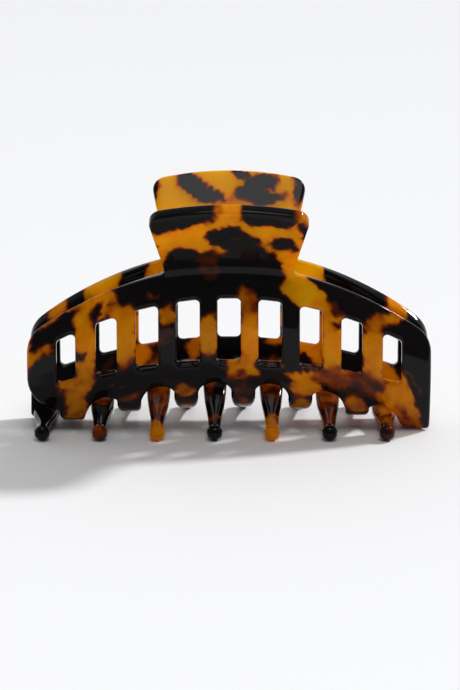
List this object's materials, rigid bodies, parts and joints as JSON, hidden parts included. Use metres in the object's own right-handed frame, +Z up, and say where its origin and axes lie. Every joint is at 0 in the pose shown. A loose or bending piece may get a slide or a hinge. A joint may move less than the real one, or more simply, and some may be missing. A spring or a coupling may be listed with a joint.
{
  "type": "claw hair clip",
  "caption": "Sprung claw hair clip: two arched, slotted tortoiseshell jaws with interlacing ball-tipped teeth and flared handles, hinged on a steel pin.",
  "frame": {"origin": "centre of the overall box's base, which is the surface the clip stands on with its ball tips", "axes": "+X along the jaws and the hinge pin, -Y towards the front jaw, +Z up from the ball tips to the handles"},
  "size_m": [0.105, 0.048, 0.0641],
  "materials": {
    "tortoiseshell_acetate": "polished translucent amber with dark brown blotches",
    "pin_steel": "satin",
    "spring_steel": "drawn wire, satin"
  },
  "bodies": {
    "front": {"front_jaw": "tortoiseshell_acetate", "front_hinge_lug_left": "tortoiseshell_acetate", "front_hinge_lug_right": "tortoiseshell_acetate", "hinge_pin": "pin_steel", "pin_cap_left": "pin_steel", "pin_cap_right": "pin_steel", "torsion_spring": "spring_steel"},
    "back": {"back_jaw": "tortoiseshell_acetate", "back_hinge_lug_left": "tortoiseshell_acetate", "back_hinge_lug_right": "tortoiseshell_acetate"}
  },
  "joints": [
    {"name": "jaw_hinge", "type": "hinge", "parent": "front", "child": "back", "pos_m": [0, 0, 0.04381], "axis": [1, 0, 0], "range_deg": [0, 88], "stiffness_Nm_per_rad": 0.08, "springref_deg": -34.38, "deforming": ["torsion_spring"]}
  ]
}
